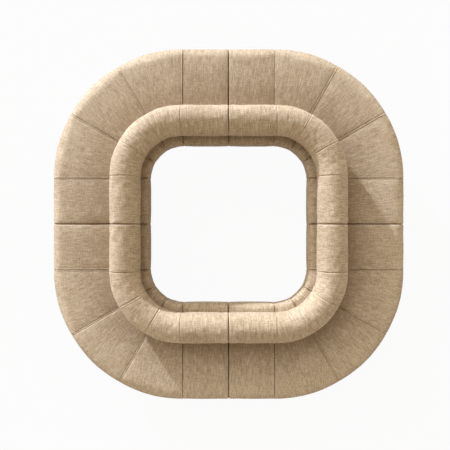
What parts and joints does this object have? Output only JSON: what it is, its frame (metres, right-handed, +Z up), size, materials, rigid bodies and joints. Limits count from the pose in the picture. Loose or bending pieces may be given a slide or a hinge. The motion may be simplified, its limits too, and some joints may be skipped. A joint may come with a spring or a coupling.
{
  "type": "ring sofa",
  "caption": "Modular ring sofa, rounded square in plan: padded seats face outwards round an open centre, with a roll backrest on the inner side and low tapered legs.",
  "frame": {"origin": "on the floor, at the centre of the ring's opening", "axes": "+Z up; +X and +Y run through the joints between neighbouring modules"},
  "size_m": [3.44, 3.44, 0.6922],
  "materials": {
    "fabric": "sand linen-look plain weave with slubs, top-stitched seams",
    "foam": "cut foam, hidden",
    "plywood": "raw plywood, hidden",
    "black_steel": "satin black powder coat",
    "zinc_steel": "zinc plated",
    "black_cloth": "black non-woven lining"
  },
  "bodies": {
    "ne_module": {"ne_seat_cover": "fabric", "ne_seat_foam": "foam", "ne_seat_deck": "plywood", "ne_outer_rail": "plywood", "ne_inner_rail": "plywood", "ne_first_end_board": "plywood", "ne_second_end_board": "plywood", "ne_middle_rib": "plywood", "ne_dust_cover": "black_cloth", "ne_back_core": "black_steel", "ne_back_foam": "foam", "ne_back_cover": "fabric", "ne_stand": "black_steel", "ne_link_tongue": "zinc_steel", "ne_link_channel": "zinc_steel"},
    "nw_module": {"nw_seat_cover": "fabric", "nw_seat_foam": "foam", "nw_seat_deck": "plywood", "nw_outer_rail": "plywood", "nw_inner_rail": "plywood", "nw_first_end_board": "plywood", "nw_second_end_board": "plywood", "nw_middle_rib": "plywood", "nw_dust_cover": "black_cloth", "nw_back_core": "black_steel", "nw_back_foam": "foam", "nw_back_cover": "fabric", "nw_stand": "black_steel", "nw_link_tongue": "zinc_steel", "nw_link_channel": "zinc_steel"},
    "sw_module": {"sw_seat_cover": "fabric", "sw_seat_foam": "foam", "sw_seat_deck": "plywood", "sw_outer_rail": "plywood", "sw_inner_rail": "plywood", "sw_first_end_board": "plywood", "sw_second_end_board": "plywood", "sw_middle_rib": "plywood", "sw_dust_cover": "black_cloth", "sw_back_core": "black_steel", "sw_back_foam": "foam", "sw_back_cover": "fabric", "sw_stand": "black_steel", "sw_link_tongue": "zinc_steel", "sw_link_channel": "zinc_steel"},
    "se_module": {"se_seat_cover": "fabric", "se_seat_foam": "foam", "se_seat_deck": "plywood", "se_outer_rail": "plywood", "se_inner_rail": "plywood", "se_first_end_board": "plywood", "se_second_end_board": "plywood", "se_middle_rib": "plywood", "se_dust_cover": "black_cloth", "se_back_core": "black_steel", "se_back_foam": "foam", "se_back_cover": "fabric", "se_stand": "black_steel", "se_link_tongue": "zinc_steel", "se_link_channel": "zinc_steel"}
  },
  "joints": [
    {"name": "nw_lift", "type": "slide", "parent": "ne_module", "child": "nw_module", "axis": [0, 0, 1], "range_m": [0, 0.1]},
    {"name": "sw_lift", "type": "slide", "parent": "ne_module", "child": "sw_module", "axis": [0, 0, 1], "range_m": [0, 0.1]},
    {"name": "se_lift", "type": "slide", "parent": "ne_module", "child": "se_module", "axis": [0, 0, 1], "range_m": [0, 0.1]}
  ]
}
